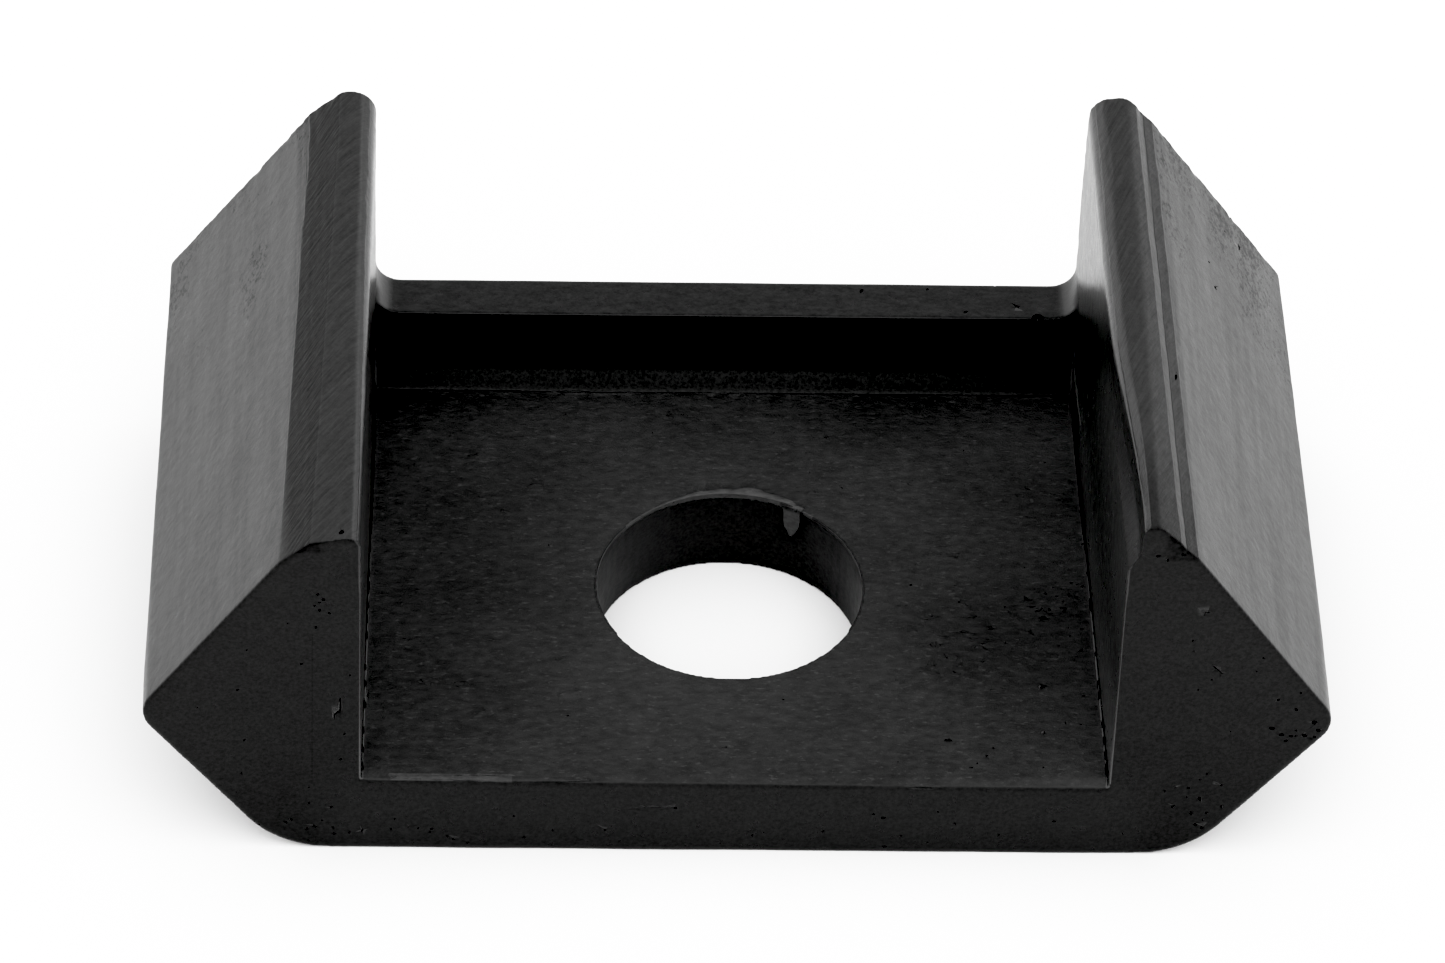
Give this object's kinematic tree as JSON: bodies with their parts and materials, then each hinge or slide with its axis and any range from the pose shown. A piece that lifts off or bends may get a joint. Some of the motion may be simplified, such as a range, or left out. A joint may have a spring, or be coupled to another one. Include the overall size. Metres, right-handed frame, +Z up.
{
  "type": "rubber bumper pad",
  "caption": "Moulded rubber channel bumper pad with two sloped lugs, a low back wall, a bolt hole in its floor and a bonded steel core.",
  "frame": {"origin": "middle of the footprint, on the surface that the pad stands on", "axes": "+X across the channel from the left lug to the right lug, +Y from the open front to the back wall, +Z up"},
  "size_m": [0.0986, 0.0536, 0.0381],
  "materials": {
    "black_rubber": "satin",
    "core_steel": "satin"
  },
  "bodies": {
    "root": {"rubber_body": "black_rubber", "steel_core": "core_steel"}
  },
  "joints": []
}
